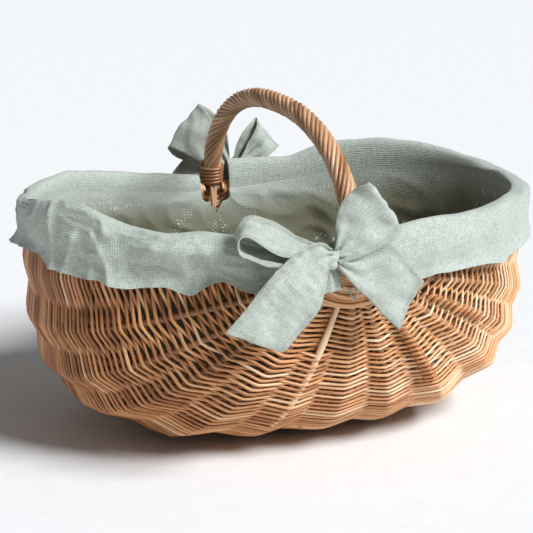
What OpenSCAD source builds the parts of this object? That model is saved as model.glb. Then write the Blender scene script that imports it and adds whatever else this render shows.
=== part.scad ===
// Ribbed wicker log basket with a tied-in linen liner and a bow at each handle foot.
// X runs along the basket, Y across it, Z up. The handle stands in the plane X = 0.
// The origin is on the floor under the middle of the basket.

/* [Basket body] */
// Half of the woven body's length at the rim
half_length = 260; // [200:1:320]
// Half of the woven body's depth at the rim
half_depth = 190; // [150:1:230]
// Height of the rim where the handle stands
ear_height = 200; // [170:1:240]
// How much higher the rim is at the two ends
end_rise = 28; // [0:1:40]
// How far the sides belly out below the rim
belly = 4; // [0:0.5:12]
// Roundness of the rim seen from above, 2 is an ellipse
rim_power = 2.06; // [2:0.02:3]
// Squareness of the section along the basket
long_power = 3.6; // [2.2:0.1:4.5]
// Squareness of the section across the basket
cross_power = 3.04; // [2.2:0.02:4]
// Thickness of the woven skin outside the ribs
weave_t = 3.6; // [3:0.2:8]
// Diameter of a weaving rod
rod_d = 4; // [3:0.2:5]
// How far the skin stands out over each rib
rib_ridge = 2; // [0:0.25:3]
// Depth that the bottom is pressed flat by its own weight
settle = 1.5; // [0.5:0.25:3]

/* [Frame] */
// Angle of the first rib below the rim, round the section
rib_1_at = 12.5; // [10:0.5:15]
// Angle of the second rib
rib_2_at = 25; // [22:0.5:28]
// Angle of the third rib
rib_3_at = 35.5; // [32:0.5:38]
// Angle of the fourth rib
rib_4_at = 45; // [42:0.5:50]
// Angle of the fifth rib
rib_5_at = 59.5; // [56:0.5:64]
// Angle of the sixth rib, next to the keel rib
rib_6_at = 74.5; // [70:0.5:78]
// Diameter of a rib
rib_d = 7; // [5:0.5:9]
// Diameter of the rim hoop
rim_d = 10; // [8:0.5:12]
// Diameter of the handle's core and of the keel rib
hoop_d = 10; // [8:0.5:12]
// Height of the handle core's centre line at the top
handle_height = 324; // [290:1:380]
// Squareness of the handle arch, 2 is an ellipse
arch_power = 2.3; // [2:0.05:2.8]

/* [Handle wrap] */
// Willow rods laid side by side around the handle core
wrap_rods = 9; // [6:1:9]
// Diameter of a wrap rod
wrap_rod_d = 4; // [3:0.2:4.2]
// Length of handle on which a rod goes round once
wrap_lay = 130; // [90:5:220]
// Turns in the binding at each handle foot
binding_turns = 5; // [3:1:7]
// Diameter of the binding rod
binding_d = 3.4; // [2.4:0.2:4]

/* [Liner] */
// Thickness of the liner as a plain solid
liner_t = 1.5; // [1:0.1:2.5]
// Drop of the skirt below the rim
skirt_drop = 46; // [30:1:60]
// Height of the loose fold above the rim hoop at the handle
fold_high = 15; // [8:1:20]
// Height of the fold above the rim hoop at the two ends
fold_low = 7; // [7:1:14]
// Depth of the waves along the skirt's hem
hem_wave = 3.5; // [0:0.5:5]
// Half width of the slit around each handle foot
slit_half = 17; // [14:1:24]

/* [Bows] */
// Thickness of a flat tail as a plain solid
ribbon_t = 2.4; // [1.5:0.1:4]
// Distance of the knot to the side of the handle foot
knot_side = 34; // [20:1:40]

/* [Hidden] */

willow = "#b0764a";
willow_dark = "#8a5632";
linen = "#c3cac0";

fit = 0.4;                                   // clearance between neighbours
rim_r = rim_d / 2;
hoop_r = hoop_d / 2;
rib_r = rib_d / 2;
wrap_r = wrap_rod_d / 2;
binding_r = binding_d / 2;
rim_in = 2;                                  // rim hoop's centre line, in from the skin
keel_in = weave_t + fit + hoop_r;            // the keel rib's centre line, in from the skin
rib_in = weave_t + fit + rib_r;              // a rib's centre line, in from the skin
bag_in = keel_in + hoop_r + rod_d + fit;     // the liner bag's outer face, on the inner rods
top_gap = rim_r + 2.5;                       // drop from the rim line to the skin's edge
wrap_ring = hoop_r + 0.3 + wrap_r;           // radius on which the wrap rods lie
wrap_out = wrap_ring + wrap_r;               // outer radius of the wrapped handle
ear_foot = half_depth - rim_in;              // Y of the handle's feet, on the rim hoop
core_foot = rim_r + fit;                     // height of the core's ends above the rim line
foot_tail = 38;                              // length of the wrap rods' ends below the rim

function step3(t) = t * t * (3 - 2 * t);
function clamp01(t) = max(0, min(1, t));
function unit(v) = v / norm(v);
function round_out(a, n) = pow(pow(abs(cos(a)), n) + pow(abs(sin(a)), n), -1 / n);

// The skin: th goes round the section, 0 at the left rim, 90 at the keel, 180 at the right
// rim. ph goes across, 0 at the front ear, 180 at the back ear. d is the depth inside.
function power_at(th) = rim_power + (cross_power - rim_power) * pow(sin(th), 2);
function out_at(th, ph) = round_out(ph, power_at(th)) * sin(ph);
function across_at(th, ph) = round_out(ph, power_at(th)) * cos(ph);
function rim_z(t) = ear_height + end_rise * step3(clamp01(t));
function belly_at(th) = belly * sin(2 * min(th, 180 - th));
function skin(th, ph, d = 0) =
  let (o = out_at(th, ph), r = round_out(th, long_power),
       top = rim_z(abs(cos(th) * r * o)),
       z = top - (top - d) * sin(th) * r * o)
  [-(half_length + belly_at(th) - d) * cos(th) * r * o,
   -(half_depth - d) * across_at(th, ph),
   max(z - settle * sin(th) * o, d, 0)];

// The stakes that the weave goes round: rim, six ribs, keel rib, six ribs, rim
side_stakes = [0, rib_1_at, rib_2_at, rib_3_at, rib_4_at, rib_5_at, rib_6_at];
side_gaps = len(side_stakes);
function stake_at(g) =
  g < side_gaps ? side_stakes[g] : g == side_gaps ? 90 : 180 - side_stakes[2 * side_gaps - g];
function gap_of(th, g = 0) = g >= 2 * side_gaps - 1 || th < stake_at(g + 1) ? g : gap_of(th, g + 1);
function gap_share(th) =
  let (g = gap_of(th)) (th - stake_at(g)) / (stake_at(g + 1) - stake_at(g));
function ridge(th, ph) = rib_ridge * pow(cos(180 * gap_share(th)), 2) * out_at(th, ph);

// A point of the rim line, moved out by o and up by u
function rim_point(s, ph, o = 0, u = 0) =
  let (a = skin(s, ph), b = skin(s, ph + 0.5), c = skin(s, ph - 0.5),
       t = unit([b.x - c.x, b.y - c.y]), side = s == 0 ? -1 : 1)
  [a.x + side * t.y * o, a.y - side * t.x * o, a.z + u];

// The handle's centre line: 0 at the front ear, 90 at the top, 180 at the back ear
arch_rise = handle_height - ear_height;
function arch_point(t) =
  let (r = round_out(t, arch_power))
  [0, -ear_foot * cos(t) * r, ear_height + arch_rise * sin(t) * r];
// The angle at which the centre line is at height h above the ears
function arch_at(h) = atan2(h / arch_rise, pow(1 - pow(h / arch_rise, arch_power), 1 / arch_power));

// Triangles of a tube through rings of points, closed round or with two flat ends
function ring_faces(n, m, loop) = [
  for (i = [0 : n - (loop ? 1 : 2)], j = [0 : m - 1])
    let (i2 = (i + 1) % n, j2 = (j + 1) % m)
      each [[i * m + j, i2 * m + j2, i2 * m + j], [i * m + j, i * m + j2, i2 * m + j2]]
];
function end_faces(n, m) = [
  [for (j = [m - 1 : -1 : 0]) j], [for (j = [0 : m - 1]) (n - 1) * m + j]
];
// Ends of a folded strip, whose rings run out along one face and back along the other
function strip_end(m, at, flip) = [
  for (j = [0 : m / 2 - 2])
    let (a = at + j, b = at + j + 1, c = at + m - 2 - j, d = at + m - 1 - j)
      each (flip ? [[a, c, b], [a, d, c]] : [[a, b, c], [a, c, d]])
];
module rings(list, loop = false, strip = false) {
  n = len(list);
  m = len(list[0]);
  ends = loop ? [] : strip ? concat(strip_end(m, 0, true), strip_end(m, (n - 1) * m, false))
    : end_faces(n, m);
  polyhedron(
    points = [for (r = list) each r],
    faces = concat(ring_faces(n, m, loop), ends),
    convexity = 10
  );
}

// A round rod along a path, with its rings set square to the path. up is any direction
// that the path never follows.
function rod_ring(p, dir, up, r, sides) =
  let (a = unit(cross(dir, up)), b = cross(a, dir))
  [for (k = [0 : sides - 1]) p + r * (cos(360 * k / sides) * a + sin(360 * k / sides) * b)];
function path_dir(path, i, loop) =
  let (n = len(path))
  unit(path[loop ? (i + 1) % n : min(i + 1, n - 1)] - path[loop ? (i + n - 1) % n : max(i - 1, 0)]);
module rod(path, r, up, sides = 6, loop = false)
  rings([for (i = [0 : len(path) - 1]) rod_ring(path[i], path_dir(path, i, loop), up, r, sides)],
        loop);

// ---- Frame ----
core_steps = 34;
function core_list(from) = [
  for (i = [0 : core_steps]) arch_point(from + (180 - 2 * from) * i / core_steps)
];
module handle_core()
  color(willow_dark)
    rod(core_list(arch_at(core_foot)), hoop_r, [1, 0, 0], 8);

// A wrap rod winds from foot to foot. Those at the inner and outer sides of a foot run on
// down past the rim hoop, and the others end on it.
wrap_from = arch_at(core_foot + 1.5);
function wrap_turn(k, t) = 360 * (k / wrap_rods + PI * ear_foot * (t - 90) / 180 / wrap_lay);
function wrap_point(k, t) =
  let (dir = unit(arch_point(t + 0.5) - arch_point(t - 0.5)), a = wrap_turn(k, t))
  arch_point(t) + wrap_ring * (cos(a) * [1, 0, 0] + sin(a) * cross(dir, [1, 0, 0]));
function runs_on(k, t) = abs(sin(wrap_turn(k, t))) > 0.8;
function foot_end(k, t) =
  let (p = wrap_point(k, t), y = (t < 90 ? -1 : 1) * ear_foot)
  [for (z = [rim_r, -foot_tail])
    [p.x, y + sign(p.y - y) * (rim_r + wrap_r + fit), ear_height + z]];
module handle_wrap_rods()
  color(willow)
    for (k = [0 : wrap_rods - 1]) {
      front = runs_on(k, wrap_from) ? foot_end(k, wrap_from) : [];
      back = runs_on(k, 180 - wrap_from) ? foot_end(k, 180 - wrap_from) : [];
      winding = [for (i = [0 : core_steps])
        wrap_point(k, wrap_from + (180 - 2 * wrap_from) * i / core_steps)];
      rod(concat([for (i = [len(front) - 1 : -1 : 0]) front[i]], winding, back),
          wrap_r, [0.3, 1, 0.1], 5);
    }

// A ring square to the arch at height h above the rim, on the front leg
module leg_ring(h) {
  t = arch_at(h);
  dir = arch_point(t + 0.5) - arch_point(t - 0.5);
  translate(arch_point(t))
    rotate([-atan2(dir.y, dir.z), 0, 0])
      rotate_extrude($fn = 48)
        translate([wrap_out + binding_r + fit, 0])
          circle(binding_r, $fn = 24);
}
binding_foot = core_foot + 1.5 + 2 * binding_r;
module front_handle_binding()
  color(willow_dark)
    for (i = [0 : binding_turns - 1]) leg_ring(binding_foot + i * (binding_d + fit));
module back_handle_binding()
  rotate([0, 0, 180]) front_handle_binding();

module rim_hoop()
  color(willow_dark)
    rod(concat([for (ph = [0 : 6 : 174]) rim_point(0, ph, -rim_in)],
               [for (ph = [180 : -6 : 6]) rim_point(180, ph, -rim_in)]),
        rim_r, [0, 0, 1], 8, true);

module keel_rib()
  color(willow_dark)
    rod([for (i = [0 : rib_steps]) skin(90, rib_from + (180 - 2 * rib_from) * i / rib_steps, keel_in)],
        hoop_r, [1, 0, 0], 8);

// Turns of rod around the rim hoop on both sides of the handle's foot
lash_r = 1.8;
module front_ear_lashing()
  color(willow)
    for (side = [-1, 1], i = [0 : 2])
      translate([side * (wrap_out + 0.5 + i * (2 * lash_r + fit)), -ear_foot, ear_height])
        rotate([0, 90, 0])
          rotate_extrude($fn = 48)
            translate([rim_r + lash_r + fit, 0])
              circle(lash_r, $fn = 24);
module back_ear_lashing()
  rotate([0, 0, 180]) front_ear_lashing();

// Tight half-round rows that hang under the ear, outside the skin
ear_row_d = 4;
ear_row_count = 6;
module front_ear_rows()
  color(willow)
    for (i = [0 : ear_row_count - 1]) {
      r = 12 + i * (ear_row_d + fit);
      rise = asin((rim_r + lash_r * 2 + ear_row_d) / (r + 6));
      translate([0, -half_depth - fit - ear_row_d / 2, ear_height])
        rotate([90, 0, 0])
          rotate([0, 0, 180 + rise])
            rotate_extrude(angle = 180 - 2 * rise, $fn = 72)
              translate([r, 0])
                circle(ear_row_d / 2, $fn = 20);
    }
module back_ear_rows()
  rotate([0, 0, 180]) front_ear_rows();

// Rib i counts from the rim down to the keel; each runs from ear to ear
rib_steps = 24;
rib_from = 11;
late_rib_from = 21;
// The first and the third rib are pushed in later, so they start further from the ear
module rib(th, from)
  color(willow_dark)
    rod([for (i = [0 : rib_steps]) skin(th, from + (180 - 2 * from) * i / rib_steps, rib_in)],
        rib_r, [0, 0.12, 1], 6);
function rib_start(i) = i == 1 || i == 3 ? late_rib_from : rib_from;
module left_rib(i) rib(stake_at(i), rib_start(i));
module right_rib(i) rib(180 - stake_at(i), rib_start(i));

// ---- Weave ----
// The skin's top edge keeps an even drop below the rim line
function edge_th(ph) =
  min(60, 180 / PI * top_gap / (ear_height * max(0.05, out_at(0, ph))));
gap_steps = 4;
skin_steps = gap_steps * 2 * side_gaps;
function skin_th(j, ph) =
  let (e = edge_th(ph), g = min(floor(j / gap_steps), 2 * side_gaps - 1),
       th = stake_at(g) + (stake_at(g + 1) - stake_at(g)) * (j - g * gap_steps) / gap_steps)
  th <= 45 ? e + (45 - e) * th / 45
  : th >= 135 ? 180 - e - (45 - e) * (180 - th) / 45 : th;
function skin_ring(ph, out_d, in_d) = concat(
  [for (j = [0 : skin_steps])
    let (th = skin_th(j, ph)) skin(th, ph, out_d - ridge(th, ph))],
  [for (j = [skin_steps : -1 : 0]) skin(skin_th(j, ph), ph, in_d)]
);
module skin_band(from, to, steps)
  rings([for (i = [0 : steps]) skin_ring(from + (to - from) * i / steps, 0, weave_t)],
        strip = true);

ear_edge = 5;
band_edge = 58;
band_gap = 0.2;
module front_weave() color(willow) skin_band(ear_edge, band_edge, 9);
module closing_weave()
  color(willow) skin_band(band_edge + band_gap, 180 - band_edge - band_gap, 10);
module back_weave() color(willow) skin_band(180 - band_edge, 180 - ear_edge, 9);

// ---- Liner ----
bag_steps = 22;
function bag_ring(ph, d) = [
  for (j = [0 : bag_steps])
    let (e = edge_th(ph) * 1.3, th = e + (180 - 2 * e) * j / bag_steps) skin(th, ph, d)
];
module liner_bag()
  color(linen)
    rings([for (i = [0 : 20])
      let (ph = 10 + 8 * i, inner = bag_ring(ph, bag_in + liner_t))
      concat(bag_ring(ph, bag_in), [for (j = [bag_steps : -1 : 0]) inner[j]])],
      strip = true);

// The skirt's profile: up inside the rim hoop, over it and down outside, with a wavy hem
function hem_out(ph) = hem_wave * sin(ph * 23) + 0.5 * hem_wave * sin(ph * 41 + 40);
function hem_drop(ph) = skirt_drop + 2.2 * sin(ph * 19 + 60) + 1.6 * sin(ph * 31);
function skirt_ring(s, ph) =
  let (i = rim_in + rim_r + 0.7, w = hem_out(ph), h = hem_drop(ph), t = liner_t,
       f = fold_low + (fold_high - fold_low) * pow(cos(ph), 2) - t)
  [for (q = [
    [-i, -6], [-i, 2], [-5, f], [1, f], [6, 1], [8, -16], [10 + w, -h],
    [10 + w + t, -h], [8 + t, -16], [6 + t, 2], [2, f + t], [-6, f + t], [-i - t, 3], [-i - t, -6]])
    rim_point(s, ph, q[0], q[1])];
skirt_from = asin(slit_half / half_length);
skirt_steps = 48;
module skirt(s)
  color(linen)
    rings([for (i = [0 : skirt_steps])
      let (k = s == 0 ? i : skirt_steps - i)
      skirt_ring(s, skirt_from + (180 - 2 * skirt_from) * k / skirt_steps)]);
module liner_skirt_left() skirt(0);
module liner_skirt_right() skirt(180);

// ---- Bows ----
knot_y = half_depth + 24;
knot_z = ear_height + 15;
module place_front_knot() translate([-knot_side, -knot_y, knot_z]) children();
module front_bow_knot()
  color(linen) place_front_knot() sphere(d = 19, $fn = 40);

// A loop is a plump closed solid from the knot to its round far end
module bow_loop(near, far, tip)
  hull() {
    translate(near) sphere(d = 8, $fn = 16);
    translate(far) sphere(d = 18, $fn = 20);
    translate(tip) sphere(d = 14, $fn = 20);
  }
// A tail is a flat piece of ribbon that hangs in front of the skirt
module bow_tail(outline, lean)
  rotate([90 - lean, 0, 0])
    linear_extrude(ribbon_t, center = true)
      polygon(outline);

module front_bow_left_ribbon()
  color(linen) place_front_knot() {
    bow_loop([-16, 0, 3], [-64, 0, 36], [-84, -2, 8]);
    translate([0, -8, -14])
      bow_tail([[-12, 2], [-22, -6], [-104, -46], [-62, -68]], -6);
  }
module front_bow_right_ribbon()
  color(linen) place_front_knot() {
    bow_loop([15, 0, 6], [36, 2, 56], [56, -2, 26]);
    translate([0, -6, -14])
      bow_tail([[12, 4], [50, 20], [86, -20], [62, -60]], -5);
  }
module back_bow_knot() rotate([0, 0, 180]) front_bow_knot();
module back_bow_left_ribbon() rotate([0, 0, 180]) front_bow_right_ribbon();
module back_bow_right_ribbon() rotate([0, 0, 180]) front_bow_left_ribbon();

// A short loop of tie tape under each ear
module front_tie_loop()
  color(linen)
    translate([-4, -half_depth - ear_row_d - 3, ear_height - 32])
      rotate([90, 0, 0])
        difference() {
          cylinder(d = 13, h = 1.6, center = true, $fn = 40);
          cylinder(d = 8, h = 4, center = true, $fn = 40);
        }
module back_tie_loop() rotate([0, 0, 180]) front_tie_loop();

handle_core();
handle_wrap_rods();
front_handle_binding();
back_handle_binding();
rim_hoop();
keel_rib();
front_ear_lashing();
back_ear_lashing();
front_ear_rows();
back_ear_rows();
left_rib(1);  // left_rib_1
left_rib(2);  // left_rib_2
left_rib(3);  // left_rib_3
left_rib(4);  // left_rib_4
left_rib(5);  // left_rib_5
left_rib(6);  // left_rib_6
right_rib(1);  // right_rib_1
right_rib(2);  // right_rib_2
right_rib(3);  // right_rib_3
right_rib(4);  // right_rib_4
right_rib(5);  // right_rib_5
right_rib(6);  // right_rib_6
front_weave();
closing_weave();
back_weave();
liner_bag();
liner_skirt_left();
liner_skirt_right();
front_bow_knot();
front_bow_left_ribbon();
front_bow_right_ribbon();
back_bow_knot();
back_bow_left_ribbon();
back_bow_right_ribbon();
front_tie_loop();
back_tie_loop();
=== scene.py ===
import math

import bpy
import numpy as np
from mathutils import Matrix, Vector


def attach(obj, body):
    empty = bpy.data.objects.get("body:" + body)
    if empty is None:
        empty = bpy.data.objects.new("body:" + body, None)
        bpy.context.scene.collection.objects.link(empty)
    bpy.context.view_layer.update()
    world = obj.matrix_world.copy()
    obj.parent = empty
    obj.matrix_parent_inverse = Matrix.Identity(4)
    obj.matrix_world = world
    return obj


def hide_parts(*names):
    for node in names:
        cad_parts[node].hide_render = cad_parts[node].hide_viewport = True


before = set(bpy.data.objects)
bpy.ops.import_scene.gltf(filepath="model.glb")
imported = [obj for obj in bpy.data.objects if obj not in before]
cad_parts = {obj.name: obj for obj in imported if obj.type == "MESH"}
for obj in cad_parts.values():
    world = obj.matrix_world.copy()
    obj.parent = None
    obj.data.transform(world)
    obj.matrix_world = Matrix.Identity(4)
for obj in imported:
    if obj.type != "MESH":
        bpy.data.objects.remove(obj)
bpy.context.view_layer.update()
rng = np.random.default_rng(11)

# ---------------------------------------------------------------------------
# Sizes in millimetres. The form's are the CAD model's driving dimensions, and the rods are
# thinner and more than the CAD's, since each row and each wrapping rod is drawn on its own.
# ---------------------------------------------------------------------------
HALF_LENGTH, HALF_DEPTH = 260.0, 190.0
EAR_HEIGHT, END_RISE, BELLY = 200.0, 28.0, 4.0
RIM_POWER, LONG_POWER, CROSS_POWER = 2.06, 3.6, 3.04
SETTLE = 1.5             # how far the loaded bottom sags
SIDE_RIBS = [12.5, 25, 35.5, 45, 59.5, 74.5]     # degrees round the section, from the rim
LATE_RIBS = (1, 3)       # these ribs are pushed in later, so they start further from the ear
RIB_R, RIM_R, KEEL_R, ROD_R = 3.5, 5.0, 5.3, 1.42
RIM_IN, RIB_IN, KEEL_IN = 2.0, 7.5, 9.3
HANDLE_HEIGHT, ARCH_POWER = 324.0, 2.3
WRAP_RODS, WRAP_ROD_R, WRAP_LAY = 11, 2.08, 112.0
WRAP_RING = 7.9          # from the handle's centre line to a wrapping rod's
TAIL_DROP = 26.0         # length of the wrapping rods' tails below the rim
BINDING_TURNS, BINDING_R = 5, 1.9
SLIT_HALF, SLIT_DEEP = 17.0, 26.0
KNOT = np.array([-34.0, -214.0, 215.0])
ROWS = 110               # rows from each ear to the middle
FIRST_ROW = 15           # rows nearer the ear than this are the tight ear rows
LATE_ROWS = 0.22         # share of the half that is woven before the late ribs go in
OUTER_ROWS = 0.3         # share of the half whose rows pass behind the pale rib
CLOSING_SHARE = 0.62     # share of a half's rows before the closing rows begin
CLOTH = 0.9              # thickness of the linen
LASHING_TURNS = 4
EAR_FOOT = HALF_DEPTH - RIM_IN
ARCH_RISE = HANDLE_HEIGHT - EAR_HEIGHT
TURN = math.tau


# ---------------------------------------------------------------------------
# The basket's form
# ---------------------------------------------------------------------------
def step3(t):
    t = np.clip(t, 0, 1)
    return t * t * (3 - 2 * t)


def round_out(a, n):
    return (np.abs(np.cos(a)) ** n + np.abs(np.sin(a)) ** n) ** (-1 / n)


def skin(th, ph, d=0.0):
    """The woven skin. th goes round the section from the left rim, over the keel at a quarter
    turn, to the right rim; ph goes from the front ear to the back ear; d is the depth inside."""
    th, ph, d = np.broadcast_arrays(*(np.asarray(v, float) for v in (th, ph, d)))
    n = RIM_POWER + (CROSS_POWER - RIM_POWER) * np.sin(th) ** 2
    ro = round_out(ph, n)
    out = ro * np.sin(ph)
    r = round_out(th, LONG_POWER)
    top = EAR_HEIGHT + END_RISE * step3(np.abs(np.cos(th) * r * out))
    belly = BELLY * np.sin(2 * np.minimum(th, math.pi - th))
    x = -(HALF_LENGTH + belly - d) * np.cos(th) * r * out
    y = -(HALF_DEPTH - d) * ro * np.cos(ph)
    z = np.maximum(top - (top - d) * np.sin(th) * r * out - SETTLE * np.sin(th) * out, d)
    return np.stack([x, y, z], -1)


def unit(v):
    return v / np.maximum(np.linalg.norm(v, axis=-1, keepdims=True), 1e-9)


def rim_point(side, ph, o=0.0, u=0.0):
    """A point of the rim line moved outward by o and up by u. side is -1 left, 1 right."""
    th = 0.0 if side < 0 else math.pi
    a, b, c = skin(th, ph), skin(th, ph + 0.01), skin(th, ph - 0.01)
    t = unit((b - c)[..., :2])
    o, u = np.asarray(o), np.asarray(u)
    return np.stack([a[..., 0] + side * t[..., 1] * o, a[..., 1] - side * t[..., 0] * o,
                     a[..., 2] + u], -1)


def arch(t):
    """The handle's centre line, 0 at the front ear and half a turn at the back ear."""
    r = round_out(t, ARCH_POWER)
    return np.stack([0 * t, -EAR_FOOT * np.cos(t) * r, EAR_HEIGHT + ARCH_RISE * np.sin(t) * r], -1)


def arch_at(h):
    h = h / ARCH_RISE
    return math.atan2(h, (1 - h ** ARCH_POWER) ** (1 / ARCH_POWER))


def arc_length(points):
    return np.concatenate([[0], np.cumsum(np.linalg.norm(np.diff(points, axis=0), axis=1))])


def ripple(p, scale, seed, waves=7):
    """Smooth wandering noise, about -1 to 1, over points p; scale is the wave's length."""
    pick = np.random.default_rng(seed)
    total = 0
    for _ in range(waves):
        way = unit(pick.normal(size=p.shape[-1])) * TURN / (scale * pick.uniform(0.7, 1.5))
        total = total + np.sin(p @ way + pick.uniform(0, TURN))
    return total / math.sqrt(waves) * 0.8


def end_name(back):
    return "back" if back else "front"


def at_end(points, back):
    """Points of a piece at the front ear, or turned half round to the back ear."""
    return points * np.array([-1, -1, 1]) if back else points


# ---------------------------------------------------------------------------
# Mesh builders
# ---------------------------------------------------------------------------
def mesh_object(name, points, quads):
    me = bpy.data.meshes.new(name)
    quads = np.asarray(quads, np.int32)
    me.vertices.add(len(points))
    me.vertices.foreach_set("co", (np.asarray(points, np.float32) * 0.001).ravel())
    me.loops.add(quads.size)
    me.loops.foreach_set("vertex_index", quads.ravel())
    me.polygons.add(len(quads))
    me.polygons.foreach_set("loop_start", np.arange(0, quads.size, quads.shape[1], dtype=np.int32))
    me.polygons.foreach_set("use_smooth", np.full(len(quads), True))
    me.update(calc_edges=True)
    ob = bpy.data.objects.new(name, me)
    bpy.context.scene.collection.objects.link(ob)
    return ob


def set_attribute(ob, name, values):
    at = ob.data.attributes.new(name, "FLOAT", "POINT")
    at.data.foreach_set("value", np.asarray(values, np.float32).ravel())


def frames(path):
    """Tangents with two directions square to them, carried along the path without twist."""
    n = len(path)
    tangent = unit(np.gradient(path, axis=0))
    first = np.array([0.0, 1.0, 0.0]) if abs(tangent[0, 1]) < 0.8 else np.array([1.0, 0.0, 0.0])
    a = np.empty_like(path)
    a[0] = unit(np.cross(tangent[0], first))
    for i in range(1, n):
        v = a[i - 1] - tangent[i] * (a[i - 1] @ tangent[i])
        a[i] = v / np.linalg.norm(v)
    return tangent, a, np.cross(tangent, a)


def tubes(name, rods, sides=7):
    """One object of many rods. Each rod is (path, radius or radii, tone)."""
    points, quads, shaded_tones, runs, turns = [], [], [], [], []
    base = 0
    angle = np.arange(sides) * TURN / sides
    for path, radius, tone in rods:
        path = np.asarray(path, float)
        n = len(path)
        radius = np.broadcast_to(np.asarray(radius, float), (n,))
        tangent, a, b = frames(path)
        # Rounded ends: one extra small ring at each end
        path = np.vstack([path[:1] - tangent[:1] * radius[0] * 0.35, path,
                          path[-1:] + tangent[-1:] * radius[-1] * 0.35])
        a, b = np.vstack([a[:1], a, a[-1:]]), np.vstack([b[:1], b, b[-1:]])
        radius = np.concatenate([[radius[0] * 0.55], radius, [radius[-1] * 0.55]])
        n += 2
        ring = (a[:, None] * np.cos(angle)[None, :, None] + b[:, None] * np.sin(angle)[None, :, None])
        points.append((path[:, None] + ring * radius[:, None, None]).reshape(-1, 3))
        i = np.arange(n - 1)[:, None] * sides
        j = np.arange(sides)[None]
        k = (j + 1) % sides
        quads.append((np.stack([i + j, i + k, i + sides + k, i + sides + j], -1) + base).reshape(-1, 4))
        caps = [np.arange(sides)[::-1] + base, np.arange(sides) + base + (n - 1) * sides]
        for cap in caps:
            for m in range(1, sides - 2, 2):
                quads.append(np.array([[cap[0], cap[m], cap[m + 1], cap[m + 2]]]))
        # Painted shade: every rod is painted darker and browner toward the left end, where the basket
        # lies in shade
        shaded_tones.append(np.repeat(tone - 0.04 + 0.3 * path[:, 0] / HALF_LENGTH, sides))
        runs.append(np.repeat(arc_length(path), sides) * 0.001 + tone * 3)
        turns.append(np.tile(angle, n) / TURN)
        base += n * sides
    ob = mesh_object(name, np.concatenate(points), np.concatenate(quads))
    set_attribute(ob, "tone", np.concatenate(shaded_tones))
    set_attribute(ob, "run", np.concatenate(runs))
    set_attribute(ob, "turn", np.concatenate(turns))
    return ob


def cloth(name, grid):
    """A sheet over a grid of points, with its weave's coordinates laid in metres."""
    nu, nv = grid.shape[:2]
    index = np.arange(nu * nv).reshape(nu, nv)
    quads = np.stack([index[:-1, :-1], index[1:, :-1], index[1:, 1:], index[:-1, 1:]], -1).reshape(-1, 4)
    ob = mesh_object(name, grid.reshape(-1, 3), quads)
    du = np.linalg.norm(np.diff(grid, axis=0), axis=-1).mean(1)
    dv = np.linalg.norm(np.diff(grid, axis=1), axis=-1).mean(0)
    u = np.concatenate([[0], np.cumsum(du)]) * 0.001
    v = np.concatenate([[0], np.cumsum(dv)]) * 0.001
    uv = np.stack(np.meshgrid(u, v, indexing="ij"), -1).reshape(-1, 2)
    layer = ob.data.uv_layers.new(name="weave")
    layer.data.foreach_set("uv", uv[quads.ravel()].astype(np.float32).ravel())
    edge = np.minimum.reduce([u[:, None] - u[0] + 0 * v, u[-1] - u[:, None] + 0 * v,
                              v[None] - v[0] + 0 * u[:, None], v[-1] - v[None] + 0 * u[:, None]])
    set_attribute(ob, "edge", edge)
    solid = ob.modifiers.new("thickness", "SOLIDIFY")
    solid.thickness = CLOTH * 0.001
    solid.offset = 0
    corner = grid[:-1, :-1]
    area = np.linalg.norm(np.cross(grid[1:, :-1] - corner, grid[:-1, 1:] - corner), axis=-1)
    ob["flat_area"] = float(area.sum() * 1e-6)
    ob["flat_size"] = [float(u[-1]), float(v[-1])]
    return ob


def spline(points, n):
    """Catmull-Rom through the stations, resampled to n even steps of the parameter."""
    points = np.asarray(points, float)
    m = len(points)
    t = np.linspace(0, m - 1, n)
    i = np.minimum(t.astype(int), m - 2)
    f = (t - i).reshape(-1, *([1] * (points.ndim - 1)))
    p0, p1, p2, p3 = (points[np.clip(i + k, 0, m - 1)] for k in (-1, 0, 1, 2))
    return 0.5 * (2 * p1 + (p2 - p0) * f + (2 * p0 - 5 * p1 + 4 * p2 - p3) * f ** 2
                  + (3 * p1 - p0 - 3 * p2 + p3) * f ** 3)


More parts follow.
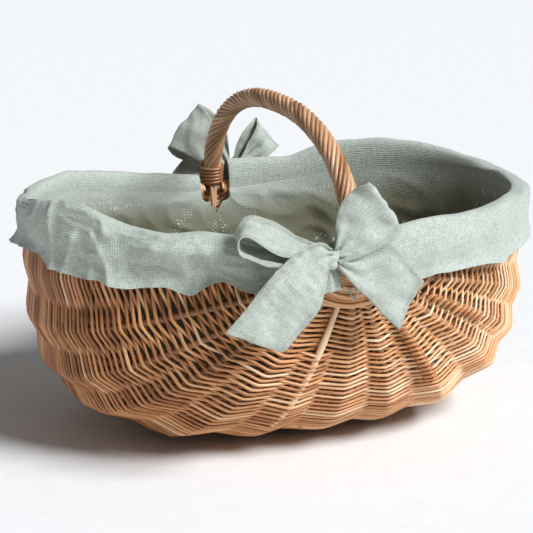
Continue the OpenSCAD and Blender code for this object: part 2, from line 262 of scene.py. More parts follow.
# ---------------------------------------------------------------------------
# Materials
# ---------------------------------------------------------------------------
class Shader:
    """A small helper that adds nodes and links to one material."""

    def __init__(self, name):
        self.material = bpy.data.materials.new(name)
        self.material.use_nodes = True
        self.tree = self.material.node_tree
        self.bsdf = self.tree.nodes["Principled BSDF"]

    def node(self, kind, **values):
        made = self.tree.nodes.new(kind)
        for key, value in values.items():
            if hasattr(made, key):
                setattr(made, key, value)
            else:
                made.inputs[key].default_value = value
        return made

    def link(self, out, into):
        self.tree.links.new(out, into)

    def attribute(self, name):
        return self.node("ShaderNodeAttribute", attribute_name=name).outputs["Fac"]

    def math(self, kind, a, b=None, clamp=False):
        made = self.node("ShaderNodeMath", operation=kind, use_clamp=clamp)
        for i, v in enumerate((a, b)):
            if v is None:
                continue
            if isinstance(v, (int, float)):
                made.inputs[i].default_value = v
            else:
                self.link(v, made.inputs[i])
        return made.outputs[0]

    def ramp(self, fac, stops):
        made = self.node("ShaderNodeValToRGB")
        ramp = made.color_ramp
        while len(ramp.elements) < len(stops):
            ramp.elements.new(0.5)
        for element, (place, colour) in zip(ramp.elements, stops):
            element.position = place
            element.color = (*colour, 1)
        self.link(fac, made.inputs["Fac"])
        return made.outputs["Color"]

    def mix(self, fac, a, b, kind="MIX"):
        made = self.node("ShaderNodeMix", data_type="RGBA", blend_type=kind)
        for socket, v in ((made.inputs[0], fac), (made.inputs[6], a), (made.inputs[7], b)):
            if isinstance(v, (int, float)):
                socket.default_value = v
            elif isinstance(v, tuple):
                socket.default_value = (*v, 1)
            else:
                self.link(v, socket)
        return made.outputs[2]

    def combine(self, x, y, z):
        made = self.node("ShaderNodeCombineXYZ")
        for i, v in enumerate((x, y, z)):
            if isinstance(v, (int, float)):
                made.inputs[i].default_value = v
            else:
                self.link(v, made.inputs[i])
        return made.outputs[0]

    def noise(self, vector, scale, detail=3.0, rough=0.55):
        made = self.node("ShaderNodeTexNoise", Scale=scale, Detail=detail, Roughness=rough)
        self.link(vector, made.inputs["Vector"])
        return made.outputs["Fac"]

    def bump(self, height, strength, distance):
        made = self.node("ShaderNodeBump", Strength=strength, Distance=distance)
        self.link(height, made.inputs["Height"])
        self.link(made.outputs["Normal"], self.bsdf.inputs["Normal"])


def willow_material(name, stops, rough=0.48):
    """Peeled willow: colour by rod, with long streaks, small knots and a satin skin."""
    s = Shader(name)
    # The "tone" attribute holds each rod's own tone plus painted shade toward the basket's left end
    tone, run, turn = s.attribute("tone"), s.attribute("run"), s.attribute("turn")
    place = s.combine(s.math("MULTIPLY", run, 18.0), s.math("MULTIPLY", turn, 3.0),
                      s.math("MULTIPLY", tone, 37.0))
    patch = s.noise(place, 1.0, 3.0)
    fine = s.noise(s.combine(s.math("MULTIPLY", run, 60.0), s.math("MULTIPLY", turn, 14.0),
                             s.math("MULTIPLY", tone, 91.0)), 1.0, 4.0, 0.7)
    fac = s.math("ADD", s.math("MULTIPLY", tone, 0.62), s.math("MULTIPLY", patch, 0.52))
    fac = s.math("ADD", fac, s.math("MULTIPLY", s.math("SUBTRACT", fine, 0.5), 0.35), clamp=True)
    colour = s.ramp(fac, stops)
    knots = s.ramp(s.noise(s.combine(s.math("MULTIPLY", run, 26.0), turn,
                                     s.math("MULTIPLY", tone, 53.0)), 1.0, 1.0),
                   [(0.70, (1, 1, 1)), (0.78, (0.52, 0.40, 0.32))])
    colour = s.mix(1.0, colour, knots, "MULTIPLY")
    s.link(colour, s.bsdf.inputs["Base Color"])
    s.link(s.math("ADD", s.math("MULTIPLY", fine, 0.22), rough - 0.11), s.bsdf.inputs["Roughness"])
    s.bsdf.inputs["Specular IOR Level"].default_value = 0.6
    s.bump(fine, 0.35, 0.0006)
    return s.material


def linen_material(name, light, dark, hem=0.0):
    """Loose plain-weave linen: threads both ways with slubs, and a sewn hem along its edge. The
    attribute "deep" darkens and browns it with painted shade and adds painted light as short bright
    slits, as inside the bag."""
    s = Shader(name)
    uv = s.node("ShaderNodeUVMap", uv_map="weave").outputs["UV"]
    split = s.node("ShaderNodeSeparateXYZ")
    s.link(uv, split.inputs[0])
    u, v = split.outputs[0], split.outputs[1]
    pitch = 0.0014
    wobble = s.math("MULTIPLY", s.math("SUBTRACT", s.noise(uv, 55.0, 2.0), 0.5), 0.0022)
    across = s.math("SINE", s.math("MULTIPLY", s.math("ADD", u, wobble), TURN / pitch))
    along = s.math("SINE", s.math("MULTIPLY", s.math("ADD", v, wobble), TURN / pitch))
    threads = s.math("MULTIPLY", s.math("ADD", across, 1.0), s.math("ADD", along, 1.0))
    fine, coarse = 800.0, 160.0
    slub_u, slub_v = (
        s.noise(s.combine(s.math("MULTIPLY", u, in_u), s.math("MULTIPLY", v, in_v), apart), 1.0, 2.0)
        for in_u, in_v, apart in ((fine, coarse, 0.0), (coarse, fine, 3.0)))
    slubs = s.math("ADD", slub_u, slub_v)
    cloudy = s.noise(uv, 14.0, 3.0)
    fac = s.math("ADD", s.math("MULTIPLY", threads, 0.24), s.math("MULTIPLY", slubs, 0.62))
    fac = s.math("ADD", fac, s.math("MULTIPLY", cloudy, 0.15))
    fac = s.math("SUBTRACT", fac, 0.45, clamp=True)
    colour = s.ramp(fac, [(0.08, dark), (0.62, light)])
    # Painted shade: cloth deep inside the bag is multiplied darker and browner
    painted_bag_shade = s.ramp(s.attribute("deep"), [(0.0, (1, 1, 1)), (1.0, (0.42, 0.37, 0.28))])
    colour = s.mix(1.0, colour, painted_bag_shade, "MULTIPLY")
    # The bag's threads have slipped apart in places; the short bright slits there are painted light
    # showing through the gaps
    slit = s.math("MULTIPLY", s.math("SINE", s.math("MULTIPLY", s.math("ADD", u, wobble), TURN / 0.0052)),
                  s.math("SINE", s.math("MULTIPLY", s.math("ADD", v, s.math("MULTIPLY", wobble, 2.0)),
                                        TURN / 0.021)))
    painted_light_slits = s.math("MULTIPLY", s.math("GREATER_THAN", slit, 0.66),
                     s.math("GREATER_THAN", s.noise(uv, 16.0, 1.0), 0.57))
    painted_light_slits = s.math("MULTIPLY", painted_light_slits, s.math("GREATER_THAN", s.noise(uv, 160.0, 1.0), 0.5))
    painted_light_slits = s.math("MULTIPLY", painted_light_slits, s.math("GREATER_THAN", s.attribute("deep"), 0.35))
    colour = s.mix(painted_light_slits, colour, (0.70, 0.77, 0.77))
    height = s.math("ADD", s.math("MULTIPLY", threads, 0.35), slubs)
    if hem:
        edge = s.attribute("edge")
        line = s.ramp(edge, [(0.0, (0.86, 0.85, 0.80)), (hem * 0.6, (0.98, 0.98, 0.97)),
                             (hem * 0.85, (0.74, 0.74, 0.70)), (hem, (0.74, 0.74, 0.70)),
                             (hem * 1.25, (1, 1, 1))])
        colour = s.mix(1.0, colour, line, "MULTIPLY")
        step = s.ramp(edge, [(hem * 0.9, (1, 1, 1)), (hem * 1.1, (0, 0, 0))])
        height = s.math("ADD", height, s.math("MULTIPLY", step, 2.0))
    s.link(colour, s.bsdf.inputs["Base Color"])
    s.bsdf.inputs["Roughness"].default_value = 0.92
    s.bsdf.inputs["Specular IOR Level"].default_value = 0.18
    s.bsdf.inputs["Sheen Weight"].default_value = 0.25
    s.bsdf.inputs["Sheen Roughness"].default_value = 0.5
    s.bump(height, 0.5, 0.0006)
    return s.material


WILLOW = willow_material("willow", [
    (0.12, (0.20, 0.062, 0.016)), (0.34, (0.48, 0.190, 0.062)),
    (0.56, (0.76, 0.380, 0.155)), (0.80, (0.92, 0.66, 0.420))], 0.34)
WILLOW_DARK = willow_material("willow_thick", [
    (0.2, (0.13, 0.052, 0.022)), (0.5, (0.26, 0.115, 0.050)), (0.85, (0.45, 0.235, 0.120))])
WILLOW_HANDLE = willow_material("willow_handle", [
    (0.2, (0.30, 0.134, 0.056)), (0.45, (0.56, 0.300, 0.150)), (0.8, (0.80, 0.52, 0.320))], 0.40)
WILLOW_BINDING = willow_material("willow_binding", [
    (0.2, (0.17, 0.066, 0.026)), (0.5, (0.29, 0.125, 0.052)), (0.85, (0.46, 0.225, 0.105))], 0.28)
LINEN = linen_material("linen", (0.64, 0.705, 0.645), (0.25, 0.275, 0.225))
LINEN_RIBBON = linen_material("linen_ribbon", (0.64, 0.705, 0.645), (0.26, 0.285, 0.235), hem=0.0036)


def dress(ob, material, slot, *nodes):
    ob.data.materials.append(material)
    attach(ob, "root")
    if nodes:
        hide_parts(*nodes)
    return ob


# ---------------------------------------------------------------------------
# Frame: rim hoop, keel rib and side ribs
# ---------------------------------------------------------------------------
STAKES = np.radians([0] + SIDE_RIBS + [90] + [180 - a for a in SIDE_RIBS[::-1]] + [180])
KEEL = len(SIDE_RIBS) + 1
PALE_RIB = KEEL - 1      # the left rib nearest the keel is paler, and lies outside the first rows


def stake_depth(i):
    """Depth of a stake's centre line under the skin, and its radius."""
    if i in (0, 2 * KEEL):
        return RIM_IN, RIM_R
    return (KEEL_IN, KEEL_R) if i == KEEL else (RIB_IN, RIB_R)


def is_late(i):
    return min(i, 2 * KEEL - i) in LATE_RIBS


def make_frame():
    ph = np.linspace(0, TURN, 181)[:-1]
    loop = np.where((ph < math.pi)[:, None], rim_point(-1, np.minimum(ph, math.pi), -RIM_IN),
                    rim_point(1, TURN - np.maximum(ph, math.pi), -RIM_IN))
    loop = np.vstack([loop, loop[:1]])
    dress(tubes("rim_hoop_rod", [(loop, RIM_R, 0.4)], 12), WILLOW_DARK, "willow_dark", "rim_hoop")
    ph = np.linspace(math.radians(9), math.radians(171), 90)
    dress(tubes("keel_rod", [(skin(math.pi / 2, ph, KEEL_IN), KEEL_R, 0.45)], 12),
          WILLOW_DARK, "willow_dark", "keel_rib")
    for i in range(1, 2 * KEEL):
        if i == KEEL:
            continue
        start = math.radians(21 if is_late(i) else 9)
        ph = np.linspace(start, math.pi - start, 80)
        taper = 1 - 0.35 * step3(1 - np.minimum(ph - start, math.pi - start - ph) / math.radians(14))
        side, number = ("left", i) if i < KEEL else ("right", 2 * KEEL - i)
        tone, depth, material, slot = 0.35 + 0.5 * rng.random(), RIB_IN, WILLOW_DARK, "willow_dark"
        if i == PALE_RIB:
            tone, depth, material, slot = 0.95, RIB_IN - 1.5, WILLOW, "willow"
        dress(tubes(f"{side}_rib_rod_{number}", [(skin(STAKES[i], ph, depth), RIB_R * taper, tone)], 8),
              material, slot, f"{side}_rib_{number}")


# ---------------------------------------------------------------------------
# Weave: every row is one rod from rim to rim, over and under the stakes
# ---------------------------------------------------------------------------
PH_FINE = np.radians(np.linspace(0.5, 90, 240))
STAKE_RUNS = [arc_length(skin(stake_angle, PH_FINE, RIB_IN)) for stake_angle in STAKES]


def row_point(i, fraction, depth, back):
    """Where a row at this share of the way from the ear crosses stake i, at that depth."""
    run = STAKE_RUNS[i]
    # Rows lie closer on the keel near the ear than on the rim
    spread = fraction + 0.7 * fraction * (1 - fraction) * (math.cos(STAKES[i]) ** 2 - 0.35)
    # Beside the ear the rows ring the handle's foot at an even distance
    even = step3((fraction - 0.04) / 0.6)
    ring = fraction * (290 + 100 * math.cos(STAKES[i]) ** 2)
    ph = np.interp(spread * run[-1] * even + ring * (1 - even), run, PH_FINE)
    return skin(STAKES[i], math.pi - ph if back else ph, depth)


def weave_row(k, back):
    """Path, radii and tone of row k, counted from the ear."""
    fraction = (k + 0.5) / ROWS
    stakes = [i for i in range(2 * KEEL + 1) if not (is_late(i) and fraction < LATE_ROWS)]
    radius = ROD_R * rng.uniform(0.88, 1.1)
    path = []
    for place, i in enumerate(stakes):
        depth, stake_r = stake_depth(i)
        over = 1 if (place + k) % 2 == 0 else -1
        slack = 0.3 * rng.normal()
        shift = 0.0013 * rng.normal()
        if i in (0, 2 * KEEL):
            # Ends tuck in below the rim hoop, or inside it
            point = row_point(i, fraction + shift, depth + (1.0 if over > 0 else stake_r + radius), back)
            point[2] -= stake_r + radius + 0.6 if over > 0 else 0
        else:
            out = -1 if i == PALE_RIB and fraction < OUTER_ROWS else over
            point = row_point(i, fraction + shift, depth - out * (stake_r + radius) * 0.97 + slack, back)
        if path:
            last = path[-1]
            steps = max(3, min(6, int(np.linalg.norm(point - last) / 7)))
            for t in np.arange(1, steps) / steps:
                path.append(last + (point - last) * (t + 0.55 * (step3(t) - t)))
        path.append(point)
    path = np.array(path)
    # A light smoothing rounds the kinks over the stakes, as a bent rod does
    path[1:-1] = path[1:-1] * 0.6 + (path[:-2] + path[2:]) * 0.2
    # A rod is thick at its butt and thin at its tip; most butts lie to the left
    along = np.linspace(0, 1, len(path))
    taper = 1.26 - 0.38 * along if rng.random() < 0.8 else 1.05 + 0.05 * along
    return path, radius * taper, float(np.clip(rng.normal(0.5, 0.2), 0, 1))


def make_weave():
    for back in (False, True):
        rows = [weave_row(k, back) for k in range(FIRST_ROW, ROWS)]
        # Butts of new rods stick out where they were pushed in beside the right ribs
        butts = []
        for i, first, last in ((KEEL + 2, 0.24, 0.5), (KEEL + 4, 0.2, 0.42), (KEEL + 6, 0.2, 0.5)):
            for fraction in np.arange(first, last, 2 / ROWS):
                end = row_point(i, fraction, 1.0, back)
                foot = row_point(i - 1, fraction, RIB_IN, back)
                butts.append((np.stack([end, end + (foot - end) * 0.1, end + (foot - end) * 0.25]),
                              1.75 * rng.uniform(0.85, 1.1), 0.12))
        rows[:0] = butts
        name = end_name(back)
        split = int(len(rows) * CLOSING_SHARE)
        dress(tubes(f"{name}_weave_rods", rows[:split], 6), WILLOW, "willow", f"{name}_weave")
        dress(tubes(f"{name}_closing_rods", rows[split:], 6), WILLOW, "willow", "closing_weave")


def make_ear_rows():
    """Tight rows that hang under each ear, outside the keel rib's foot."""
    for back in (False, True):
        rods = []
        for k in range(1, FIRST_ROW):
            fraction = (k + 0.5) / ROWS
            path = []
            for i in (0, 2, 4, 5, 6, KEEL, 8, 9, 10, 12, 14):
                depth = -4.6 if i in (0, 2 * KEEL) else 1.4 - 1.8 * (k % 3 == 1)
                path.append(row_point(i, fraction, depth, back))
            radius = 1.65 * rng.uniform(0.9, 1.1)
            rods.append((spline(path, 60), radius, float(np.clip(rng.normal(0.6, 0.15), 0, 1))))
        name = end_name(back)
        dress(tubes(f"{name}_ear_rods", rods, 8), WILLOW, "willow", f"{name}_ear_rows")


def make_ear_lashing():
    """Turns of rod around the rim hoop beside each foot of the handle."""
    for back in (False, True):
        rods = []
        for side in (-1, 1):
            a = np.linspace(0, LASHING_TURNS * TURN, 120)
            x = side * (11 + 11 * a / a[-1])
            r = RIM_R + 2.2
            path = np.stack([x, -EAR_FOOT + r * np.cos(a), EAR_HEIGHT + r * np.sin(a)], -1)
            rods.append((at_end(path, back), 1.7, 0.5 + 0.3 * rng.random()))
        name = end_name(back)
        dress(tubes(f"{name}_lashing_rods", rods, 7), WILLOW, "willow", f"{name}_ear_lashing")


# ---------------------------------------------------------------------------
# Handle
# ---------------------------------------------------------------------------
def coil(centre, direction, radius, angle):
    """Points at that radius and angle round a centre line that lies across the x axis."""
    e1 = np.array([1.0, 0, 0])
    e2 = np.cross(direction, e1)
    return centre + radius * (np.cos(angle)[:, None] * e1 + np.sin(angle)[:, None] * e2)


def make_handle():
    start = arch_at(RIM_R + 0.4)
    t = np.linspace(start, math.pi - start, 240)
    line = arch(t)
    run = arc_length(line)
    t_even = np.interp(np.linspace(0, run[-1], 260), run, t)
    line = arch(t_even)
    run = arc_length(line)
    dress(tubes("handle_core_rod", [(line, KEEL_R, 0.4)], 12), WILLOW_DARK, "willow_dark", "handle_core")
    direction = unit(np.gradient(line, axis=0))
    rods = []
    for k in range(WRAP_RODS):
        a = TURN * (k / WRAP_RODS + (run - run[-1] / 2) / WRAP_LAY)
        path = coil(line, direction, WRAP_RING + 0.18 * math.sin(k * 2.4), a)
        tails = []
        for end in (0, -1):
            p = path[end]
            y0 = math.copysign(EAR_FOOT, line[end][1])
            if abs(p[1] - y0) > 0.8 * WRAP_RING:
                y = y0 + math.copysign(RIM_R + WRAP_ROD_R + 0.5, p[1] - y0)
                tails.append(np.array([[p[0] * (1 - 0.7 * s), y, EAR_HEIGHT + RIM_R - TAIL_DROP * s]
                                       for s in np.linspace(0.05, 1, 8)]))
            else:
                tails.append(np.empty((0, 3)))
        path = np.vstack([tails[0][::-1], path, tails[1]])
        radius = WRAP_ROD_R * rng.uniform(0.97, 1.05)
        rods.append((path, radius, float(np.clip(rng.normal(0.5, 0.2), 0, 1))))
    dress(tubes("handle_wrap", rods, 9), WILLOW_HANDLE, "willow", "handle_wrap_rods")
    for back in (False, True):
        a = np.linspace(0, BINDING_TURNS * TURN, BINDING_TURNS * 36)
        h = RIM_R + 3.2 + a / TURN * (2 * BINDING_R + 0.25)
        t = np.array([arch_at(v) for v in h])
        direction = unit(arch(t + 0.01) - arch(t - 0.01))
        path = coil(arch(t), direction, WRAP_RING + WRAP_ROD_R + BINDING_R * 0.72, a)
        dress(tubes(f"{end_name(back)}_binding_rod", [(at_end(path, back), BINDING_R, 0.55)], 10),
              WILLOW_BINDING, "willow_dark", f"{end_name(back)}_handle_binding")


# ---------------------------------------------------------------------------
# Liner: two sewn halves, each from the keel seam up inside, over the rim and down to its hem
# ---------------------------------------------------------------------------
def slit_end(ph):
    """Angle round the section where the slit at the handle's foot cuts a half, or the seam's."""
    th = np.linspace(0, math.pi / 2, 200)
    out = round_out(ph, RIM_POWER) * math.sin(ph)
    r = round_out(th, LONG_POWER)
    inside = out * r * (HALF_LENGTH / SLIT_HALF * np.cos(th) + EAR_HEIGHT / SLIT_DEEP * np.sin(th))
    cut = np.nonzero(inside < 1)[0]
    return th[cut[0]] if len(cut) else math.pi / 2


# Height of the loose fold above the rim, and drop of the hem below it, in millimetres at
# angles from the front ear to the back ear. The cloth is tied loosely, so both wander.
FOLD = {-1: [(0, 20), (26, 22), (34, 20), (41, 14), (51, 15), (60, 26), (70, 30), (85, 20),
             (100, 12), (115, 10), (126, 15), (136, 21), (152, 19), (168, 18), (180, 14)],
        1: [(0, 30), (16, 30), (24, 24), (32, 17), (43, 14), (58, 8), (78, 7), (95, 9), (107, 14),
            (119, 21), (136, 31), (151, 33), (160, 24), (168, 28), (180, 32)]}
HEM = {-1: [(0, 18), (16, 22), (23, 27), (28, 19), (32, 28), (35, 38), (40, 33), (49, 41), (56, 38),
            (62, 39), (69, 35), (77, 29), (86, 25), (100, 32), (115, 38), (130, 44), (150, 38),
            (180, 36)],
       1: [(0, 26), (13, 25), (18, 22), (26, 30), (34, 35), (41, 43), (50, 40), (62, 38), (76, 42),
           (86, 47), (100, 40), (120, 42), (140, 36), (160, 42), (180, 34)]}
# Gathers: angle at the fold, angle at the hem, width in degrees, height, and where each starts
# and ends on the way down from the fold (0) to the hem (1)
GATHERS = {-1: [(104, 88, 2.6, 6, 0, 1), (96, 101, 1.6, 4, 0.3, 1), (80, 78, 1.8, 3.5, 0, 0.9),
                (73, 70, 1.4, 5.5, 0, 1), (60, 67, 1.3, 4.5, 0.35, 1), (61, 53, 1.4, 4.5, 0.25, 1),
                (56, 51, 1.5, 4, 0, 0.45), (57, 59, 1.2, 3.5, 0.6, 1), (44, 41, 3.0, 3, 0.2, 0.6),
                (31, 34, 2.4, 4.5, 0.2, 1), (24, 20, 2.5, 3, 0.2, 1), (118, 121, 2.0, 4, 0, 1),
                (133, 129, 2.2, 4, 0.1, 1), (148, 152, 2.5, 4, 0.2, 1), (164, 160, 2.2, 4, 0.1, 1)],
           1: [(20, 17, 3.0, 3, 0.2, 1), (35, 40, 3.5, 3, 0.3, 1), (55, 60, 3.2, 3, 0.2, 1),
               (84, 86, 2.6, 4.5, 0.1, 1), (101, 97, 2.4, 4, 0.1, 1), (118, 121, 2.4, 4, 0.2, 1),
               (134, 130, 2.6, 4, 0.1, 1), (150, 154, 2.4, 4, 0.1, 1), (166, 163, 2.4, 4, 0.2, 1)]}
# Soft hollows and swells of the hanging cloth: angle, place on the way down, depth, and sizes
SWELLS = {-1: [(49, 0.42, -4, 3.5, 0.16), (43, 0.8, -6, 5.5, 0.12), (44, 0.5, 4.5, 6, 0.2),
               (33, 0.66, -5, 3, 0.15), (37, 0.4, 4, 3.5, 0.2), (66, 0.5, 4, 5, 0.25),
               (27, 0.4, 5, 4, 0.3), (86, 0.4, 4, 6, 0.25)],
          1: [(28, 0.5, 4, 7, 0.3), (45, 0.4, 3, 8, 0.3), (70, 0.5, 3, 8, 0.3)]}


def around(stations, ph, soft=9):
    """A smooth curve through the stations."""
    a, v = zip(*stations)
    values = np.interp(np.degrees(ph), a, v)
    window = np.hanning(soft + 2)[1:-1]
    padded = np.pad(values, soft // 2, mode="edge")
    return np.convolve(padded, window / window.sum(), mode="valid")


def crumple(p, scale, seed):
    """Wandering noise with sharp ridges, as in creased linen; about -0.5 to 0.5."""
    return 0.5 - np.minimum(np.abs(ripple(p, scale, seed)), 1.0)


def bag_half(side, ph, n_in):
    """The inside of a half, from the rim line down to the seam over the keel."""
    inner = np.empty((len(ph), n_in, 3))
    for a, p in enumerate(ph):
        th = np.linspace(0, 1, n_in) ** 1.15 * slit_end(p)
        r_out = round_out(p, RIM_POWER + (CROSS_POWER - RIM_POWER) * np.sin(th) ** 2) * math.sin(p)
        deep = EAR_HEIGHT * np.sin(th) * round_out(th, LONG_POWER) * r_out
        d = 12.5 + 9.0 * step3(deep / 50)
        inner[a] = skin(th if side < 0 else math.pi - th, p, d)
    bulge = ripple(inner, 60, 5) * 2.4 + crumple(inner, 38, 8) * 3.0 + 1.5
    fade = np.clip(np.linspace(0, 1, n_in) * 5, 0, 1)[None]
    centre = np.array([0, 0, 140.0])
    return inner + unit(centre - inner) * (np.maximum(bulge, -0.5) * fade)[..., None]


def liner_half(side):
    """Points of a half, from its hem over the rim to the seam, and how far below the rim each is."""
    nu, n_fold, n_in = 336, 82, 60
    first = math.asin(SLIT_HALF / HALF_LENGTH)
    ph = np.linspace(first, math.pi - first, nu)
    rim = rim_point(side, ph)
    run = arc_length(rim)
    fold, drop = around(FOLD[side], ph, 15), around(HEM[side], ph, 9)
    stations = np.array([[-12.5, 0], [-12.5, 0.45], [-10, 0.84], [-5.0, 1.0], [0.6, 0.92], [5.0, 0.52],
                         [6.4, 0.0], [6.0, -0.32], [5.0, -0.58], [5.4, -0.8], [7.6, -1.0]])
    prof = spline(stations, n_fold)
    o = prof[None, :, 0] + 0 * ph[:, None]
    level = prof[None, :, 1]
    up = np.where(level > 0, level * fold[:, None], level * drop[:, None])
    hang = np.clip(-prof[:, 1], 0, 1)[None]
    length = arc_length(prof * np.array([1, 34.0]))[None]
    flat = np.stack([run[:, None] + 0 * length, length + 0 * run[:, None]], -1)
    angle = np.degrees(ph)[:, None]
    # Way down the outside of the cloth: 0 at the top of the fold, 1 at the hem
    way = np.where(prof[:, 0] > -5, np.clip((1 - prof[:, 1]) / 2, 0, 1), 0)[None]
    outside = step3((prof[:, 0] + 5) / 5)[None]
    for top, low, width, height, start, end in GATHERS[side]:
        off = np.abs(angle - top - (low - top) * way) / width
        span = step3((way - start) / 0.15 + (start == 0)) * step3((end - way) / 0.15 + (end == 1))
        o = o + height * np.exp(-off) * span * outside * (1 - 0.3 * np.exp(-(off - 2) ** 2))
    for centre, height, size, wide, tall in SWELLS[side]:
        o = o + size * np.exp(-((angle - centre) / wide) ** 2 - ((way - height) / tall) ** 2) * outside
    # The hem sways in and out, and flares at the ends
    end = np.exp(-((angle - 96) / 17) ** 2) if side < 0 else np.exp(-((angle - 88) / 24) ** 2)
    o = prof[None, :, 0] + (o - prof[None, :, 0]) * (1 - 0.55 * end) - 3.5 * end * outside * (side < 0)
    calm = (1.0 if side < 0 else 0.5) * (1 - 0.5 * end)
    sway = (np.sin(run / 10.5 + 0.6) * 2.6 + np.sin(run / 6.1 + side) * 1.2) * calm[:, 0]
    o = o + hang ** 1.6 * (2.0 + sway[:, None])
    o = o + hang ** 4 * (6 if side < 0 else 4) * np.exp(-((angle - (104 if side < 0 else 84)) / 8) ** 2)
    soft = ripple(flat * np.array([1, 0.7]) + side * 90, 48, 4) * 1.8 * calm
    o = o + (soft + crumple(flat - side * 50, 26, 9) * 1.6 * calm) * outside
    up = up + ripple(flat, 34, 6) * 0.8 * np.clip(prof[:, 1], 0, 1)[None]
    keep = np.where(prof[:, 0] > 4, np.where(prof[:, 1] > -0.4, 4.6, 3.4), -99)[None]
    o = np.maximum(o, keep + 0 * o)
    outer = np.stack([rim_point(side, ph, o[:, j], up[:, j]) for j in range(n_fold)], 1)
    inner = bag_half(side, ph, n_in)
    # How far the bag lies below the rim: the deeper cloth gets painted shade, darker and browner than the
    # skirt's
    low = step3((rim[:, None, 2] - inner[:, 1:, 2] + 4) / 42)
    return np.concatenate([outer[:, ::-1], inner[:, 1:]], 1), np.concatenate([0 * outer[..., 0], low], 1)


def make_liner():
    for side, name in ((-1, "left"), (1, "right")):
        grid, deep = liner_half(side)
        ob = cloth(f"liner_{name}_half", grid)
        set_attribute(ob, "deep", deep)
        dress(ob, LINEN, "linen", f"liner_skirt_{name}", "liner_bag")


# ---------------------------------------------------------------------------
# Bows
# ---------------------------------------------------------------------------
def ribbon_grid(stations, nu=70, nv=22, creases=1.0, seed=1, cup=0.0):
    """A ribbon through pairs of edge points relative to the knot, pleated where it is pinched."""
    edges = spline(np.array(stations, float), nu)
    s = np.linspace(0, 1, nv)[None, :, None]
    grid = edges[:, :1] * (1 - s) + edges[:, 1:] * s
    across = edges[:, 1] - edges[:, 0]
    along = np.gradient(edges.mean(1), axis=0)
    normal = unit(np.cross(unit(across), unit(along)))
    width = np.linalg.norm(across, axis=1)
    pinch = np.clip(1 - width / 50, 0, 1)
    v = np.linspace(-1, 1, nv)[None]
    pleat = pinch[:, None] * 3.2 * np.sin(v * 9.0 + 0.7)
    soft = ripple(grid, 30, seed) * 1.8 + ripple(grid, 13, seed + 1) * 0.7
    shape = pleat + creases * soft * (1 - 0.6 * pinch[:, None]) + cup * (1 - v ** 2)
    return grid + normal[:, None] * shape[..., None]


def bow_pieces():
    """The ribbons of a bow, as lists of edge pairs (far edge, near edge) from the knot."""
    left_loop = [
        ((-3, 5, 8), (-3, -6, -2)), ((-23, 10, 16), (-24, -12, 2)), ((-44, 20, 31), (-47, -12, 6)),
        ((-62, 26, 38), (-64, -13, 14)), ((-74, 28, 38), (-76, -13, 24)), ((-81, 28, 32), (-88, -13, 29)),
        ((-84, 28, 24), (-96, -13, 25)), ((-82, 28, 17), (-93, -13, 14)), ((-72, 26, 12), (-80, -13, 6)),
        ((-56, 20, 9), (-64, -12, 1)), ((-34, 12, 6), (-42, -11, -2)), ((-8, 5, 2), (-10, -5, -4))]
    right_loop = [
        ((3, 4, 9), (5, -6, -6)), ((5, 5, 30), (24, -10, 1)), ((10, 6, 48), (40, -11, 6)),
        ((22, 4, 61), (56, -12, 15)), ((33, -4, 68), (64, -9, 25)), ((28, 10, 60), (52, 4, 20)),
        ((16, 12, 38), (32, 4, 8)), ((4, 8, 10), (8, 3, -4))]
    left_tail = [
        ((-6, -6, 10), (-3, -8, -3)), ((-20, -12, 19), (-8, -11, -8)),
        ((-41, -16, 13), (-10, -12, -18)), ((-55, -17, 3), (-14, -13, -31)),
        ((-67, -16, -7), (-20, -13, -44)), ((-84, -14, -28), (-34, -11, -62)),
        ((-109, -9, -57), (-54, -9, -81))]
    right_tail = [
        ((3, -4, 5), (2, -8, -7)), ((24, -8, 10), (16, -9, -24)), ((52, -9, 12), (38, -9, -46)),
        ((72, -9, -8), (50, -9, -60)), ((89, -8, -29), (63, -9, -72))]
    flap = [
        ((-20, -1, -2), (-3, -1, -2)), ((-23, -1, -18), (4, -1, -16)), ((-27, 0, -35), (9, 0, -31))]
    # The band that ties the bow on runs behind the knot to the skirt at both sides
    band = [((x, y, 8), (x, y, -8)) for x, y in
            ((-36, 19), (-26, 17), (-14, 12), (-5, 6), (5, 6), (14, 12), (26, 17), (34, 19))]
    return left_loop, right_loop, left_tail, right_tail, flap, band


def knot_grid():
    """The wrap of the knot: a short crumpled tube of ribbon around the crossing."""
    nu, nv = 40, 26
    a = np.linspace(0, TURN, nu)[:, None]
    v = np.linspace(-1, 1, nv)[None]
    r = 9.6 - 1.6 * v ** 2 + 0.7 * np.sin(a * 3 + v * 3) + 0.4 * np.sin(v * 7)
    x = 0.95 * r * np.cos(a) + 1.5 * v - 5
    y = r * np.sin(a) * 0.8 - 2
    z = 8.5 * v + 0 * a - 0.6 * np.cos(a)
    return np.stack([x, y, z], -1)


def make_ribbon(name, grid, back, node, material):
    """One sheet of a bow; its grid is relative to the front knot."""
    ob = cloth(name, at_end(grid + KNOT, back))
    dress(ob, material, "linen", node)


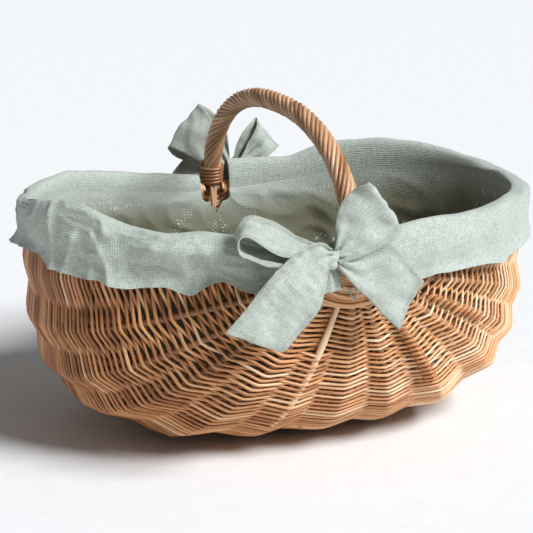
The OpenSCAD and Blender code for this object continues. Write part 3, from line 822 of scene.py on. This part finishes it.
def make_bows():
    for back in (False, True):
        name = end_name(back)
        left_loop, right_loop, left_tail, right_tail, flap, band = bow_pieces()
        if back:
            # The back bow's second loop stands up, as its first one does
            left_loop = [[(-0.95 * x, y, 0.8 * z) for x, y, z in pair] for pair in right_loop]
            right_loop = [[(1.12 * x, y, 1.1 * z) for x, y, z in pair] for pair in right_loop]
        for side, loop, tail in (("left", left_loop, left_tail), ("right", right_loop, right_tail)):
            # The back bow is turned half round, so its left is the basket's right
            world_side = {"left": "right", "right": "left"}[side] if back else side
            seed = 20 + 7 * back + (3 if side == "left" else 0)
            for part, stations, cup in (("loop", loop, 1.5), ("tail", tail, -1.5)):
                make_ribbon(f"{name}_bow_{world_side}_{part}", ribbon_grid(stations, seed=seed, cup=cup),
                            back, f"{name}_bow_{world_side}_ribbon", LINEN_RIBBON)
        for part, grid, material, held in (
                ("flap", ribbon_grid(flap, 30, 18, 0.6, 31), LINEN_RIBBON, "hung"),
                ("band", ribbon_grid(band, 40, 12, 0.4, 41), LINEN_RIBBON, "folded"),
                ("knot_wrap", knot_grid(), LINEN, "folded")):
            make_ribbon(f"{name}_bow_{part}", grid, back, f"{name}_bow_knot", material)


def make_tie_loops():
    for back in (False, True):
        a = np.linspace(-0.2, math.pi * 2 - 0.9, 40) + 1.9
        path = np.stack([-4 + 3.6 * np.cos(a), -196 - np.sin(a * 2),
                         EAR_HEIGHT - 26 + 5.6 * np.sin(a)], -1)
        dress(tubes(f"{end_name(back)}_tie_tape", [(at_end(path, back), 1.0, 0.5)], 8),
              LINEN_TAPE, "linen", f"{end_name(back)}_tie_loop")


def tape_material():
    s = Shader("linen_tape")
    run = s.math("MULTIPLY", s.attribute("run"), 900.0)
    fine = s.noise(s.combine(run, s.attribute("turn"), 0.0), 1.0, 3.0)
    colour = s.ramp(fine, [(0.3, (0.42, 0.44, 0.40)), (0.7, (0.70, 0.73, 0.69))])
    s.link(colour, s.bsdf.inputs["Base Color"])
    s.bsdf.inputs["Roughness"].default_value = 0.9
    s.bump(fine, 0.5, 0.0004)
    return s.material


LINEN_TAPE = tape_material()


# ---------------------------------------------------------------------------
# Camera, light and floor
# ---------------------------------------------------------------------------
VIEW_AZIMUTH, VIEW_ELEVATION = -22.6, 14.1
VIEW_TARGET = Vector((0, 0, 0.15))
VIEW_DISTANCE = 2.001
LENS, SHIFT_X, SHIFT_Y = 132.3, -0.0195, 0.008
KEY_AZIMUTH, KEY_ELEVATION = 37, 43
KEY_STRENGTH, KEY_SPREAD, SKY_STRENGTH = 4.2, 24, 0.17
FLOOR_HALF = 30.0


def direction_from(azimuth, elevation):
    """A unit vector toward that azimuth, in degrees to the right of the front, and elevation."""
    az, el = math.radians(azimuth), math.radians(elevation)
    return Vector((math.sin(az) * math.cos(el), -math.cos(az) * math.cos(el), math.sin(el)))


def make_camera():
    cam = bpy.data.cameras.new("camera")
    ob = bpy.data.objects.new("camera", cam)
    bpy.context.scene.collection.objects.link(ob)
    away = direction_from(VIEW_AZIMUTH, VIEW_ELEVATION)
    ob.location = VIEW_TARGET + away * VIEW_DISTANCE
    ob.rotation_euler = (-away).to_track_quat("-Z", "Y").to_euler()
    cam.sensor_width = 36
    cam.lens = LENS
    cam.shift_x, cam.shift_y = SHIFT_X, SHIFT_Y
    cam.dof.use_dof = False
    bpy.context.scene.camera = ob


def make_stage():
    scene = bpy.context.scene
    world = bpy.data.worlds.new("studio")
    scene.world = world
    world.use_nodes = True
    sky = world.node_tree.nodes["Background"]
    sky.inputs["Color"].default_value = (1.0, 1.0, 1.0, 1)
    sky.inputs["Strength"].default_value = SKY_STRENGTH
    sun = bpy.data.lights.new("key", "SUN")
    sun.energy = KEY_STRENGTH
    sun.color = (0.94, 0.965, 1.0)
    sun.angle = math.radians(KEY_SPREAD)
    key = bpy.data.objects.new("key", sun)
    scene.collection.objects.link(key)
    toward = direction_from(KEY_AZIMUTH, KEY_ELEVATION)
    key.location = toward * 3
    key.rotation_euler = (-toward).to_track_quat("-Z", "Y").to_euler()
    corners = np.array([[-1, -1, 0], [1, -1, 0], [1, 1, 0], [-1, 1, 0]])
    floor = mesh_object("floor", corners * FLOOR_HALF * 1000, [[0, 1, 2, 3]])
    s = Shader("pale_floor")
    grain = s.noise(s.node("ShaderNodeTexCoord").outputs["Object"], 40.0, 2.0)
    colour = s.ramp(grain, [(0.3, (0.90, 0.90, 0.90)), (0.7, (0.93, 0.93, 0.93))])
    s.link(colour, s.bsdf.inputs["Base Color"])
    s.bsdf.inputs["Roughness"].default_value = 0.9
    floor.data.materials.append(s.material)
    scene.view_settings.view_transform = "Standard"
    scene.view_settings.look = "None"


make_camera()
make_stage()
make_frame()
make_weave()
make_ear_rows()
make_ear_lashing()
make_handle()
make_liner()
make_bows()
make_tie_loops()
